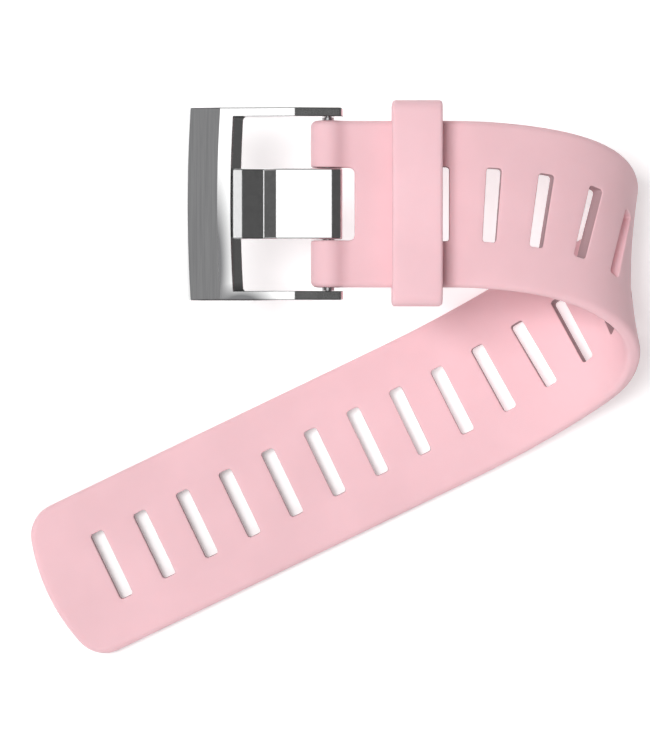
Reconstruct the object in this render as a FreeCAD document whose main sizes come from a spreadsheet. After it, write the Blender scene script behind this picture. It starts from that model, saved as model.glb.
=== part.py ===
import FreeCAD, Part
import math
import os

import Sketcher

# Buckle half of a slotted rubber wrist band: strap, keeper loop, steel buckle and spring bar.
# Frame: +Z up, the lower leg of the folded strap lies flat on Z = 0, the spring bar runs
# along Y, and the upper leg leaves the bar along +X. The origin is the middle of the base.

Vector = FreeCAD.Vector
Rotation = FreeCAD.Rotation

# Driving dimensions in millimetres and degrees: alias, value, meaning.
SIZES = [
    ("pin_x", -0.57, "spring bar centre along X"),
    ("pin_y", 25.77, "spring bar centre along Y"),
    ("strap_width", 24.0, "width of the strap"),
    ("strap_thick", 2.4, "thickness of the strap"),
    ("strap_edge", 0.9, "rounding of the strap's long edges"),
    ("slot_pitch", 7.1, "slot to slot"),
    ("slot_first", 16.4, "spring bar to the first slot"),
    ("slot_count", 19, "slots along the strap"),
    ("slot_long", 10.7, "slot length across the strap"),
    ("slot_wide", 2.05, "slot width along the strap"),
    ("slot_corner", 0.45, "corner radius of a slot"),
    ("tip_length", 10.6, "last slot to the tip"),
    ("tip_bow", 30.0, "radius of the bowed end"),
    ("tip_corner", 5.0, "radius of the tip's corners"),
    ("leg_heading", 25.7, "how far the lower leg veers from the upper one"),
    ("lug_radius", 2.5, "half thickness of the lugs round the bar"),
    ("lug_blend", 3.0, "hollow between a lug and the strap's face"),
    ("lug_bore", 0.95, "radius of the bore for the bar"),
    ("notch_wide", 10.5, "gap between the lugs"),
    ("notch_deep", 3.8, "notch floor from the bar"),
    ("notch_corner", 0.8, "corner radius of the notch floor"),
    ("keeper_centre", 12.75, "keeper's middle from the bar"),
    ("keeper_length", 7.2, "keeper along the strap"),
    ("keeper_wide", 29.4, "keeper outside, across"),
    ("keeper_room", 25.6, "keeper inside, across"),
    ("keeper_wall", 1.8, "keeper wall, front and back"),
    ("keeper_gap", 5.6, "keeper inside, front to back"),
    ("keeper_back", 1.5, "strap's mid-plane to the keeper's back wall"),
    ("keeper_corner", 1.6, "outer corner radius of the keeper"),
    ("keeper_inner", 0.6, "inner corner radius of the keeper"),
    ("keeper_rim", 0.4, "rounding of the keeper's rims"),
    ("frame_wide", 27.8, "buckle frame, across"),
    ("frame_window", 25.1, "gap between the arms"),
    ("window_corner", 0.5, "rounded corners of the window"),
    ("arm_thick", 1.35, "arm thickness"),
    ("arm_offset", 12.55, "inner face of an arm from the middle"),
    ("arm_root_x", 13.6, "where the arms merge into the bar"),
    ("arm_root_top", 1.65, "arm top at its root"),
    ("arm_root_base", 1.5, "arm base at its root"),
    ("arm_crest_x", 4.85, "crest of the arms from the bar"),
    ("arm_crest_top", 2.5, "arm top at its crest"),
    ("arm_end_x", 2.15, "end of an arm beyond the bar"),
    ("arm_end_top", 1.85, "arm top at its end"),
    ("arm_end_base", 1.75, "arm base at its end"),
    ("arm_end_corner", 0.6, "rounded corners of an arm's end"),
    ("bar_front_x", 20.65, "front of the front bar"),
    ("bar_shoulder_x", 20.2, "front edge of the brushed face"),
    ("bar_ridge_x", 15.95, "ridge between brushed face and polished band"),
    ("bar_step_x", 13.98, "step from the band down to the ledge"),
    ("bar_heel_x", 12.6, "inner wall below the ledge"),
    ("bar_base", 1.5, "underside of the front bar"),
    ("bar_nose_top", 0.1, "top of the upright nose"),
    ("bar_shoulder_top", 0.65, "brushed face at its front edge"),
    ("bar_band_top", 1.65, "top of the polished band"),
    ("ledge_outer_top", 0.75, "ledge at the step"),
    ("ledge_inner_top", 0.25, "ledge at the inner wall"),
    ("bar_bow", 220.0, "radius of the bowed front"),
    ("bar_sweep", 9.0, "angle of the bowed bar before its ends are trimmed"),
    ("frame_rounding", 0.25, "rounded edges of the frame"),
    ("strap_reach", 60.0, "beyond every part of the buckle, for trimming"),
    ("tip_hole_radius", 0.55, "hole for a plunger tip"),
    ("tip_hole_deep", 0.95, "depth of that hole"),
    ("tongue_wide", 10.2, "tongue, across"),
    ("tongue_top", 2.05, "top of the flat plate"),
    ("tongue_end_x", 2.07, "end of the tongue beyond the bar"),
    ("tongue_end_base", 1.6, "underside of the tongue's end"),
    ("tongue_end_top", 1.75, "top at the tongue's end"),
    ("tongue_fall_x", 0.55, "where the top starts to fall to the end"),
    ("tongue_end_corner", 0.6, "top corner of the tongue's end"),
    ("tongue_end_round", 1.45, "rounding under the tongue's end"),
    ("tongue_step_x", 7.5, "end of the flat plate"),
    ("tongue_dip_x", 9.2, "foot of the step"),
    ("tongue_valley_x", 9.35, "outer end of the dip's narrow floor"),
    ("tongue_dip_top", 0.95, "top at the foot of the step"),
    ("tongue_brow_x", 12.35, "inner edge of the lip"),
    ("tongue_brow_top", 1.45, "top at the inner edge of the lip"),
    ("tongue_tip_x", 13.7, "tip of the lip"),
    ("tongue_tip_top", 1.5, "top of the tip"),
    ("tongue_tip_base", 0.8, "underside of the tip"),
    ("tongue_heel_x", 12.5, "where the tip's underside has cleared the ledge"),
    ("tongue_heel_base", 0.35, "underside there"),
    ("tongue_sole_x", 12.2, "outer end of the sole"),
    ("tongue_under_x", 9.3, "inner end of the sole"),
    ("tongue_sole", 0.1, "sole below the bar's centre"),
    ("tongue_waist_x", 7.6, "where the underside levels off"),
    ("tongue_under", 0.4, "underside of the plate above the bar's centre"),
    ("tongue_neck_x", 1.9, "where the plate meets the barrel underneath"),
    ("tongue_rounding", 0.3, "rounded sides of the tongue"),
    ("tube_radius", 0.9, "spring bar tube, outside"),
    ("tube_bore", 0.65, "spring bar tube, inside"),
    ("tube_length", 24.9, "spring bar tube"),
    ("tube_collar", 0.6, "crimped collar at each end"),
    ("collar_bore", 0.55, "bore of a collar"),
    ("plunger_radius", 0.5, "plunger tip"),
    ("plunger_reach", 0.85, "tip beyond the tube"),
    ("plunger_head", 0.6, "plunger head radius"),
    ("head_length", 3.0, "plunger head length"),
    ("coil_radius", 0.42, "mean radius of the spring"),
    ("coil_wire", 0.13, "radius of its wire"),
    ("coil_turns", 18, "turns of the spring"),
]
size = {alias: value for alias, value, meaning in SIZES}

# The fold, at one station per slot from the first one on. Bend turns the strap over, dive
# lets it sink towards the lower leg, and roll tips it about its own length.
BEND = [0, 2, 10, 29, 57, 91, 127, 158, 170.5, 173, 176, 180]
DIVE = [0, -4, -9, -18, -30, -39, -36, -31, -31, -29, -27, -size["leg_heading"]]
ROLL = [0, -1, -2, -3, -3, 1, 6, 6, 3, 0, -1, 0]
STEPS_PER_PITCH = 40
SECTIONS_PER_PITCH = 2

doc = FreeCAD.newDocument("band")
sheet = doc.addObject("Spreadsheet::Sheet", "Sizes")


def write_size(row, alias, value, meaning):
    sheet.set("A%d" % row, str(value))
    sheet.setAlias("A%d" % row, alias)
    sheet.set("B%d" % row, meaning)


for number, entry in enumerate(SIZES, start=1):
    write_size(number, *entry)


# ---------------------------------------------------------------- the strap's path

def smooth(values, place):
    """Value at a fractional station, on a cubic curve through the stations."""
    last = len(values) - 1
    low = min(int(place), last - 1)
    part = place - low
    before = values[max(low - 1, 0)]
    after = values[min(low + 2, last)]
    start, end = values[low], values[low + 1]
    slope_start = (end - before) / 2 if low > 0 else 0
    slope_end = (after - start) / 2 if low + 2 <= last else 0
    square, cube = part ** 2, part ** 3
    return (
        (2 * cube - 3 * square + 1) * start
        + (cube - 2 * square + part) * slope_start
        + (3 * square - 2 * cube) * end
        + (cube - square) * slope_end
    )


def attitude(place):
    """Rotation of the strap at a station: X along it, Y across it, Z out of its outer face."""
    place = min(max(place, 0), len(BEND) - 1)
    bend = Rotation(Vector(0, 1, 0), smooth(BEND, place))
    dive = Rotation(Vector(0, 0, 1), smooth(DIVE, place))
    roll = Rotation(Vector(1, 0, 0), smooth(ROLL, place))
    return bend.multiply(dive).multiply(roll)


def follow(place):
    """Centre of the strap's thickness at a station, from the spring bar's centre."""
    point = Vector(size["slot_first"], 0, 0)
    count = int(round(place * STEPS_PER_PITCH))
    step = size["slot_pitch"] / STEPS_PER_PITCH
    for index in range(count):
        middle = (index + 0.5) / STEPS_PER_PITCH
        point += attitude(middle).multVec(Vector(1, 0, 0)) * step
    return point


def station(place):
    return FreeCAD.Placement(follow(place), attitude(place))


LAST = len(BEND) - 1
drop = -follow(LAST).z
pin_z = round(drop + size["strap_thick"] / 2, 4)
write_size(len(SIZES) + 1, "pin_z", pin_z, "spring bar centre above the base")
doc.recompute()
PIN = Vector(size["pin_x"], size["pin_y"], pin_z)


# ---------------------------------------------------------------- shared helpers

def rounded_rectangle(length, width, radius):
    """Closed wire in XY, centred on the origin."""
    x, y = length / 2 - radius, width / 2 - radius
    reach = radius * math.sqrt(0.5)
    edges = []
    for quarter in range(4):
        turn = Rotation(Vector(0, 0, 1), 90 * quarter)
        across = (x, y) if quarter % 2 == 0 else (y, x)
        centre = turn.multVec(Vector(across[0], across[1], 0))
        start = centre + turn.multVec(Vector(radius, 0, 0))
        middle = centre + turn.multVec(Vector(reach, reach, 0))
        end = centre + turn.multVec(Vector(0, radius, 0))
        edges.append(Part.Arc(start, middle, end).toShape())
        onward = Rotation(Vector(0, 0, 1), 90 * (quarter + 1))
        across = (x, y) if quarter % 2 == 1 else (y, x)
        centre = onward.multVec(Vector(across[0], across[1], 0))
        edges.append(Part.makeLine(end, centre + onward.multVec(Vector(radius, 0, 0))))
    return Part.Wire(edges)


def bind_place(thing, x="pin_x", y="pin_y", z="pin_z"):
    thing.setExpression("Placement.Base.x", "Sizes." + x)
    thing.setExpression("Placement.Base.y", "Sizes." + y)
    thing.setExpression("Placement.Base.z", "Sizes." + z)


def make_body(label):
    body = doc.addObject("PartDesign::Body", label)
    body.Label = label
    bind_place(body)
    return body


def origin_plane(body, role):
    return next(item for item in body.Origin.OriginFeatures if item.Role == role)


def signed(name):
    """Value and expression of a coordinate given as alias, -alias or 0."""
    if name == "0":
        return 0.0, None
    if name.startswith("-"):
        return -size[name[1:]], "-Sizes." + name[1:]
    return size[name], "Sizes." + name


def new_sketch(body, name, role, offset=None):
    sketch = body.newObject("Sketcher::SketchObject", name)
    sketch.AttachmentSupport = [(origin_plane(body, role), "")]
    sketch.MapMode = "FlatFace"
    if offset:
        sketch.setExpression("AttachmentOffset.Base.z", offset)
    return sketch


def pin_corner(sketch, line, corner):
    """Ties the start of a line to the sketch's origin with two sizes from the sheet."""
    for kind, name in zip(("DistanceX", "DistanceY"), corner):
        value, expression = signed(name)
        index = sketch.addConstraint(Sketcher.Constraint(kind, -1, 1, line, 1, value))
        if expression:
            sketch.setExpression("Constraints[%d]" % index, expression)


def polygon_sketch(body, name, role, corners, offset=None):
    """Closed outline whose corners are pairs of aliases."""
    sketch = new_sketch(body, name, role, offset)
    points = [Vector(signed(a)[0], signed(b)[0], 0) for a, b in corners]
    for start, end in zip(points, points[1:] + points[:1]):
        sketch.addGeometry(Part.LineSegment(start, end), False)
    for line in range(len(points)):
        following = (line + 1) % len(points)
        sketch.addConstraint(Sketcher.Constraint("Coincident", line, 2, following, 1))
    for line, corner in enumerate(corners):
        pin_corner(sketch, line, corner)
    return sketch


def circle_sketch(body, name, role, radius, offset=None):
    """Circle about the sketch's origin."""
    sketch = new_sketch(body, name, role, offset)
    circle = Part.Circle(Vector(0, 0, 0), Vector(0, 0, 1), size[radius])
    sketch.addGeometry(circle, False)
    sketch.addConstraint(Sketcher.Constraint("Coincident", 0, 3, -1, 1))
    index = sketch.addConstraint(Sketcher.Constraint("Radius", 0, size[radius]))
    sketch.setExpression("Constraints[%d]" % index, "Sizes." + radius)
    return sketch


def rectangle_sketch(body, name, role, wide, high):
    """Rectangle centred on the sketch's origin, its sides given as aliases."""
    sketch = new_sketch(body, name, role)
    x, y = size[wide] / 2, size[high] / 2
    points = [Vector(-x, -y, 0), Vector(x, -y, 0), Vector(x, y, 0), Vector(-x, y, 0)]
    for start, end in zip(points, points[1:] + points[:1]):
        sketch.addGeometry(Part.LineSegment(start, end), False)
    for line in range(4):
        following = (line + 1) % 4
        sketch.addConstraint(Sketcher.Constraint("Coincident", line, 2, following, 1))
        level = "Horizontal" if line % 2 == 0 else "Vertical"
        sketch.addConstraint(Sketcher.Constraint(level, line))
    sketch.addConstraint(Sketcher.Constraint("Symmetric", 0, 1, 1, 2, -1, 1))
    for line, side in ((0, wide), (1, high)):
        index = sketch.addConstraint(Sketcher.Constraint("Distance", line, size[side]))
        sketch.setExpression("Constraints[%d]" % index, "Sizes." + side)
    return sketch


def add_feature(body, kind, name, sketch, length=None, both_ways=True, reverse=False):
    """Pad or Pocket of a sketch; with no length a Pocket goes right through."""
    feature = body.newObject("PartDesign::" + kind, name)
    feature.Profile = (sketch, [""])
    feature.SideType = "Symmetric" if both_ways else "One side"
    feature.Reversed = reverse
    if length:
        feature.Type = "Length"
        feature.setExpression("Length", length)
    else:
        feature.Type = "ThroughAll"
    doc.recompute()
    return feature


def round_edges(body, name, radius, wanted):
    """Fillet on every edge of the body's tip that the test accepts."""
    base = body.Tip
    edges = base.Shape.Edges
    chosen = ["Edge%d" % (i + 1) for i, edge in enumerate(edges) if wanted(edge)]
    fillet = body.newObject("PartDesign::Fillet", name)
    fillet.Base = (base, chosen)
    fillet.setExpression("Radius", "Sizes." + radius)
    doc.recompute()
    return fillet


def runs_along(edge, axis):
    """True for a straight edge parallel to an axis."""
    if not isinstance(edge.Curve, Part.Line):
        return False
    along = edge.Curve.Direction
    return abs(abs(along.dot(axis)) - 1) < 1e-6


def middle_of(edge):
    return edge.valueAt((edge.FirstParameter + edge.LastParameter) / 2)


AXIS_X = Vector(1, 0, 0)
AXIS_Y = Vector(0, 1, 0)
AXIS_Z = Vector(0, 0, 1)


# ---------------------------------------------------------------- strap

def buckle_end():
    """Flat stretch from the spring bar to the first slot, with the lugs, bore and notch."""
    width, thick = size["strap_width"], size["strap_thick"]
    length = size["slot_first"]
    slab = Part.makeBox(length, width, thick, Vector(0, -width / 2, -thick / 2))
    lug = Part.makeCylinder(size["lug_radius"], width, Vector(0, -width / 2, 0), AXIS_Y)
    end = slab.fuse(lug).removeSplitter()
    creases = [
        edge for edge in end.Edges
        if runs_along(edge, AXIS_Y) and 0 < middle_of(edge).x < length / 2
    ]
    end = end.makeFillet(size["lug_blend"], creases)
    rims = [
        edge for edge in end.Edges
        if abs(abs(middle_of(edge).y) - width / 2) < 1e-6
        and middle_of(edge).x < length - 1e-3
    ]
    end = end.makeFillet(size["strap_edge"], rims)
    reach = size["lug_radius"] + size["notch_deep"] + 2 * size["notch_corner"]
    notch = Part.Face(rounded_rectangle(reach, size["notch_wide"], size["notch_corner"]))
    notch.translate(Vector(size["notch_deep"] - reach / 2, 0, -size["lug_radius"] - 1))
    end = end.cut(notch.extrude(AXIS_Z * (2 * size["lug_radius"] + 2)))
    bore = Part.makeCylinder(size["lug_bore"], width + 2, Vector(0, -width / 2 - 1, 0), AXIS_Y)
    return end.cut(bore)


def folded_stretch():
    """The fold itself: the strap's section carried along its path."""
    profile = rounded_rectangle(size["strap_thick"], size["strap_width"], size["strap_edge"])
    profile.rotate(Vector(0, 0, 0), AXIS_Y, 90)
    sections = []
    for index in range(LAST * SECTIONS_PER_PITCH + 1):
        section = profile.copy()
        section.Placement = station(index / SECTIONS_PER_PITCH).multiply(profile.Placement)
        sections.append(section)
    return Part.makeLoft(sections, True, False)


def tip_outline(length):
    """Outline of the lower leg in its own plane: square at the fold, bowed at the tip."""
    half, corner, bow = size["strap_width"] / 2, size["tip_corner"], size["tip_bow"]
    centre = Vector(length - bow, 0, 0)
    # The corner circle touches the leg's edge and the inside of the bowed end.
    corner_y = half - corner
    corner_x = centre.x + math.sqrt((bow - corner) ** 2 - corner_y ** 2)
    touch = math.atan2(corner_y, corner_x - centre.x)
    blend = (touch + math.pi / 2) / 2
    edges = [Part.makeLine(Vector(0, -half, 0), Vector(corner_x, -half, 0))]

    def on_corner(angle, side):
        x = corner_x + corner * math.cos(angle)
        return Vector(x, side * (corner_y + corner * math.sin(angle)), 0)

    low = [on_corner(angle, -1) for angle in (math.pi / 2, blend, touch)]
    high = [on_corner(angle, 1) for angle in (touch, blend, math.pi / 2)]
    edges.append(Part.Arc(*low).toShape())
    edges.append(Part.Arc(low[2], Vector(length, 0, 0), high[0]).toShape())
    edges.append(Part.Arc(*high).toShape())
    edges.append(Part.makeLine(high[2], Vector(0, half, 0)))
    edges.append(Part.makeLine(Vector(0, half, 0), Vector(0, -half, 0)))
    return Part.Wire(edges)


def lower_leg():
    """Flat stretch from the fold to the tip."""
    thick = size["strap_thick"]
    last_slot = size["slot_first"] + (size["slot_count"] - 1) * size["slot_pitch"]
    start = size["slot_first"] + LAST * size["slot_pitch"]
    leg = Part.Face(tip_outline(last_slot + size["tip_length"] - start))
    leg.translate(Vector(0, 0, -thick / 2))
    leg = leg.extrude(Vector(0, 0, thick))
    rims = [
        edge for edge in leg.Edges
        if not runs_along(edge, AXIS_Z) and middle_of(edge).x > 1e-3
    ]
    leg = leg.makeFillet(size["strap_edge"], rims)
    leg.Placement = station(LAST).multiply(leg.Placement)
    return leg


def slot_cutter(index):
    """Prism through the strap at one slot."""
    outline = rounded_rectangle(size["slot_wide"], size["slot_long"], size["slot_corner"])
    prism = Part.Face(outline)
    depth = 2 * size["strap_thick"]
    prism.translate(Vector(0, 0, -depth / 2))
    prism = prism.extrude(Vector(0, 0, depth))
    beyond = max(index - LAST, 0) * size["slot_pitch"]
    place = station(min(index, LAST))
    place = place.multiply(FreeCAD.Placement(Vector(beyond, 0, 0), Rotation()))
    prism.Placement = place.multiply(prism.Placement)
    return prism


def make_strap():
    shape = buckle_end().fuse([folded_stretch(), lower_leg()]).removeSplitter()
    shape = shape.cut([slot_cutter(index) for index in range(size["slot_count"])])
    strap = doc.addObject("Part::Feature", "strap")
    strap.Label = "strap"
    strap.Shape = shape.Solids[0] if len(shape.Solids) == 1 else shape
    bind_place(strap)
    return strap


# ---------------------------------------------------------------- keeper loop

def make_keeper():
    """Rubber loop: a rounded box with a rectangular passage, round all its rims."""
    write_size(len(SIZES) + 2, "keeper_high", size["keeper_gap"] + 2 * size["keeper_wall"],
               "keeper outside, front to back")
    write_size(len(SIZES) + 3, "keeper_x", size["pin_x"] + size["keeper_centre"],
               "keeper's middle along X")
    lift = size["keeper_gap"] / 2 - size["keeper_back"]
    write_size(len(SIZES) + 4, "keeper_z", round(pin_z + lift, 4), "keeper's middle above the base")
    size["keeper_high"] = size["keeper_gap"] + 2 * size["keeper_wall"]
    doc.recompute()
    body = make_body("keeper_loop")
    bind_place(body, "keeper_x", "pin_y", "keeper_z")
    outer = rectangle_sketch(body, "keeper_outside", "YZ_Plane", "keeper_wide", "keeper_high")
    add_feature(body, "Pad", "keeper_block", outer, "Sizes.keeper_length")
    round_edges(body, "keeper_corners", "keeper_corner", lambda edge: runs_along(edge, AXIS_X))
    inner = rectangle_sketch(body, "keeper_inside", "YZ_Plane", "keeper_room", "keeper_gap")
    add_feature(body, "Pocket", "keeper_passage", inner)
    room = size["keeper_room"] / 2
    round_edges(body, "passage_corners", "keeper_inner",
                lambda edge: runs_along(edge, AXIS_X) and abs(abs(middle_of(edge).y) - room) < 1e-6)
    half = size["keeper_length"] / 2
    round_edges(body, "keeper_rims", "keeper_rim",
                lambda edge: abs(abs(middle_of(edge).x) - half) < 1e-6)
    return body


# ---------------------------------------------------------------- buckle frame

def make_frame():
    """Bowed front bar, two arms, and a blind hole for a plunger in the end of each arm."""
    body = make_body("buckle_frame")
    bar = polygon_sketch(body, "bar_section", "XZ_Plane", [
        ("-bar_front_x", "-bar_base"),
        ("-bar_heel_x", "-bar_base"),
        ("-bar_heel_x", "ledge_inner_top"),
        ("-bar_step_x", "ledge_outer_top"),
        ("-bar_step_x", "bar_band_top"),
        ("-bar_ridge_x", "bar_band_top"),
        ("-bar_shoulder_x", "bar_shoulder_top"),
        ("-bar_front_x", "bar_nose_top"),
    ])
    bow_x = size["bar_bow"] - size["bar_front_x"]
    axis = bar.addGeometry(Part.LineSegment(Vector(bow_x, 0, 0), Vector(bow_x, 5, 0)), True)
    bar.addConstraint(Sketcher.Constraint("Vertical", axis))
    index = bar.addConstraint(Sketcher.Constraint("DistanceX", -1, 1, axis, 1, bow_x))
    bar.setExpression("Constraints[%d]" % index, "Sizes.bar_bow - Sizes.bar_front_x")
    sweep = body.newObject("PartDesign::Revolution", "front_bar")
    sweep.Profile = (bar, [""])
    sweep.ReferenceAxis = (bar, ["Axis0"])
    sweep.Midplane = True
    sweep.setExpression("Angle", "Sizes.bar_sweep")
    doc.recompute()
    trim = rectangle_sketch(body, "bar_ends", "XY_Plane", "strap_reach", "frame_wide")
    far = 2 * size["strap_reach"]
    corners = [Vector(-far, -far, 0), Vector(far, -far, 0), Vector(far, far, 0), Vector(-far, far, 0)]
    for start, end in zip(corners, corners[1:] + corners[:1]):
        trim.addGeometry(Part.LineSegment(start, end), False)
    add_feature(body, "Pocket", "trimmed_ends", trim)
    # The XZ plane faces -Y, so a minus offset puts the arm's sketch on the +Y side.
    arm = polygon_sketch(body, "arm_side", "XZ_Plane", [
        ("-arm_root_x", "-arm_root_base"),
        ("arm_end_x", "-arm_end_base"),
        ("arm_end_x", "arm_end_top"),
        ("-arm_crest_x", "arm_crest_top"),
        ("-arm_root_x", "arm_root_top"),
    ], "-Sizes.arm_offset")
    arm_pad = add_feature(body, "Pad", "arm", arm, "Sizes.arm_thick", False, True)
    hole = circle_sketch(body, "hole_outline", "XZ_Plane", "tip_hole_radius", "-Sizes.arm_offset")
    hole_cut = add_feature(body, "Pocket", "tip_hole", hole, "Sizes.tip_hole_deep", False, False)
    mirror = body.newObject("PartDesign::Mirrored", "other_arm")
    mirror.Originals = [arm_pad, hole_cut]
    mirror.MirrorPlane = (origin_plane(body, "XZ_Plane"), [""])
    body.Tip = mirror
    doc.recompute()
    end_x = size["arm_end_x"]
    round_edges(body, "arm_ends", "arm_end_corner",
                lambda edge: runs_along(edge, AXIS_Y) and abs(middle_of(edge).x - end_x) < 1e-3)
    heel = size["bar_heel_x"]
    gap = size["arm_offset"]
    round_edges(body, "window_corners", "window_corner",
                lambda edge: runs_along(edge, AXIS_Z) and abs(middle_of(edge).x + heel) < 1
                and abs(abs(middle_of(edge).y) - gap) < 1e-3)
    half = size["frame_wide"] / 2
    round_edges(body, "frame_edges", "frame_rounding",
                lambda edge: abs(abs(middle_of(edge).y) - half) < 1e-3)
    return body


# ---------------------------------------------------------------- tongue

def make_tongue():
    """Plate with a rounded end round the spring bar, a dip, and a lip that rests on the ledge."""
    body = make_body("buckle_tongue")
    plate = polygon_sketch(body, "tongue_side", "XZ_Plane", [
        ("-tongue_neck_x", "-tongue_end_base"),
        ("tongue_end_x", "-tongue_end_base"),
        ("tongue_end_x", "tongue_end_top"),
        ("tongue_fall_x", "tongue_top"),
        ("-tongue_step_x", "tongue_top"),
        ("-tongue_dip_x", "tongue_dip_top"),
        ("-tongue_valley_x", "tongue_dip_top"),
        ("-tongue_brow_x", "tongue_brow_top"),
        ("-tongue_tip_x", "tongue_tip_top"),
        ("-tongue_tip_x", "tongue_tip_base"),
        ("-tongue_heel_x", "tongue_heel_base"),
        ("-tongue_sole_x", "-tongue_sole"),
        ("-tongue_under_x", "-tongue_sole"),
        ("-tongue_waist_x", "tongue_under"),
        ("-tongue_neck_x", "tongue_under"),
    ])
    add_feature(body, "Pad", "tongue_plate", plate, "Sizes.tongue_wide")
    end_x = size["tongue_end_x"]
    neck_x = size["tongue_neck_x"]
    round_edges(body, "tongue_end", "tongue_end_round",
                lambda edge: runs_along(edge, AXIS_Y) and middle_of(edge).z < 0
                and (abs(middle_of(edge).x - end_x) < 1e-3
                     or abs(middle_of(edge).x + neck_x) < 1e-3))
    round_edges(body, "tongue_end_top", "tongue_end_corner",
                lambda edge: runs_along(edge, AXIS_Y) and middle_of(edge).z > 0
                and abs(middle_of(edge).x - end_x) < 1e-3)
    bore = circle_sketch(body, "bore_outline", "XZ_Plane", "lug_bore")
    add_feature(body, "Pocket", "tongue_bore", bore)
    half = size["tongue_wide"] / 2
    clear = size["lug_bore"] + 0.1
    round_edges(body, "tongue_sides", "tongue_rounding",
                lambda edge: abs(abs(middle_of(edge).y) - half) < 1e-3
                and math.hypot(middle_of(edge).x, middle_of(edge).z) > clear
                and middle_of(edge).z > size["tongue_tip_base"])
    return body


# ---------------------------------------------------------------- spring bar

def make_cylinder(name, radius, length, start):
    """Part cylinder along Y; start is an expression for its lower end."""
    cylinder = doc.addObject("Part::Cylinder", name)
    cylinder.setExpression("Radius", "Sizes." + radius)
    cylinder.setExpression("Height", length)
    cylinder.setExpression("Placement.Base.y", start)
    cylinder.setExpression("Placement.Rotation.Axis.x", "1")
    cylinder.setExpression("Placement.Rotation.Axis.y", "0")
    cylinder.setExpression("Placement.Rotation.Axis.z", "0")
    cylinder.setExpression("Placement.Rotation.Angle", "-90")
    return cylinder


def make_tube():
    """Tube with a narrower collar at each end."""
    half = "Sizes.tube_length / 2"
    outside = make_cylinder("tube_outside", "tube_radius", "Sizes.tube_length", "-" + half)
    inside = make_cylinder("tube_inside", "tube_bore",
                           "Sizes.tube_length - 2 * Sizes.tube_collar",
                           "Sizes.tube_collar - " + half)
    collars = make_cylinder("tube_collars", "collar_bore", "Sizes.tube_length", "-" + half)
    hollow = doc.addObject("Part::MultiFuse", "tube_hollow")
    hollow.Shapes = [inside, collars]
    tube = doc.addObject("Part::Cut", "spring_bar_tube")
    tube.Base = outside
    tube.Tool = hollow
    tube.Label = "spring_bar_tube"
    bind_place(tube)
    return tube


def make_plunger(name, side):
    """Head inside the tube and a tip through its collar; side is 1 or -1 along Y."""
    shoulder = "(Sizes.tube_length / 2 - Sizes.tube_collar)"
    tip_length = "(Sizes.tube_collar + Sizes.plunger_reach)"
    if side > 0:
        head_start, tip_start = shoulder + " - Sizes.head_length", shoulder
    else:
        head_start, tip_start = "-" + shoulder, "-" + shoulder + " - " + tip_length
    head = make_cylinder(name + "_head", "plunger_head", "Sizes.head_length", head_start)
    tip = make_cylinder(name + "_tip", "plunger_radius", tip_length, tip_start)
    plunger = doc.addObject("Part::MultiFuse", name)
    plunger.Shapes = [head, tip]
    plunger.Label = name
    bind_place(plunger)
    return plunger


def make_spring():
    """Coil between the two plunger heads."""
    radius, wire = size["coil_radius"], size["coil_wire"]
    free = size["tube_length"] - 2 * (size["tube_collar"] + size["head_length"])
    height = free - 2 * wire - 0.1
    helix = Part.makeHelix(height / size["coil_turns"], height, radius)
    start = Part.Wire(Part.makeCircle(wire, Vector(radius, 0, 0), AXIS_Y))
    coil = helix.makePipeShell([start], True, True)
    spring = doc.addObject("Part::Feature", "spring_bar_spring")
    spring.Label = "spring_bar_spring"
    spring.Shape = coil
    spring.Placement.Rotation = Rotation(AXIS_X, -90)
    write_size(len(SIZES) + 5, "spring_y", size["pin_y"] - height / 2, "lower end of the spring")
    doc.recompute()
    bind_place(spring, "pin_x", "spring_y", "pin_z")
    return spring


# ---------------------------------------------------------------- build and export

pieces = [
    make_strap(),
    make_keeper(),
    make_frame(),
    make_tongue(),
    make_tube(),
    make_plunger("spring_bar_plunger_upper", 1),
    make_plunger("spring_bar_plunger_lower", -1),
    make_spring(),
]
doc.recompute()

for thing in doc.Objects:
    if "Invalid" in thing.State or "Error" in thing.State:
        raise RuntimeError("%s did not recompute: %s" % (thing.Name, thing.State))
for piece in pieces:
    if piece.Shape.isNull() or not piece.Shape.isValid() or not piece.Shape.Solids:
        raise RuntimeError("%s has no valid solid" % piece.Label)

os.makedirs("parts", exist_ok=True)
overall = FreeCAD.BoundBox()
for piece in pieces:
    overall.add(piece.Shape.BoundBox)
    print("%-26s volume %9.2f mm3, solids %d" % (
        piece.Label, piece.Shape.Volume, len(piece.Shape.Solids)))
    piece.Shape.exportStep("parts/%s.step" % piece.Label)
print("pin at", PIN, "box", overall)
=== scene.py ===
import math

import bmesh
import bpy
from mathutils import Matrix, Vector
from mathutils.geometry import delaunay_2d_cdt


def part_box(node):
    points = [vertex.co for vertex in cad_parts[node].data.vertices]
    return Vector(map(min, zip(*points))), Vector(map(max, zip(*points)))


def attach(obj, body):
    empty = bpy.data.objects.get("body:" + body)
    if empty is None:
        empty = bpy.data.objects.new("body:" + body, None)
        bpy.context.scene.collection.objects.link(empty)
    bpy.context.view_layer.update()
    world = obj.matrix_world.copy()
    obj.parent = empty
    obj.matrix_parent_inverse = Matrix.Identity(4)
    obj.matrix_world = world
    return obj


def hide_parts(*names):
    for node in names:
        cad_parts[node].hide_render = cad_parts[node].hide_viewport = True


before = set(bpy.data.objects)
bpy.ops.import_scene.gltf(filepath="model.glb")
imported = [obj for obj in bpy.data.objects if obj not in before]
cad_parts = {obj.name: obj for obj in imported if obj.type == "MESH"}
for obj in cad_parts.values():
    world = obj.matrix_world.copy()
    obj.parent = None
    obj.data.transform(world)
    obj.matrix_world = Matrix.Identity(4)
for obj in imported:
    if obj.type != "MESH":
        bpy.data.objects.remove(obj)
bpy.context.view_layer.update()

MM = 0.001

# ---------------------------------------------------------------- sizes, in millimetres

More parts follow.
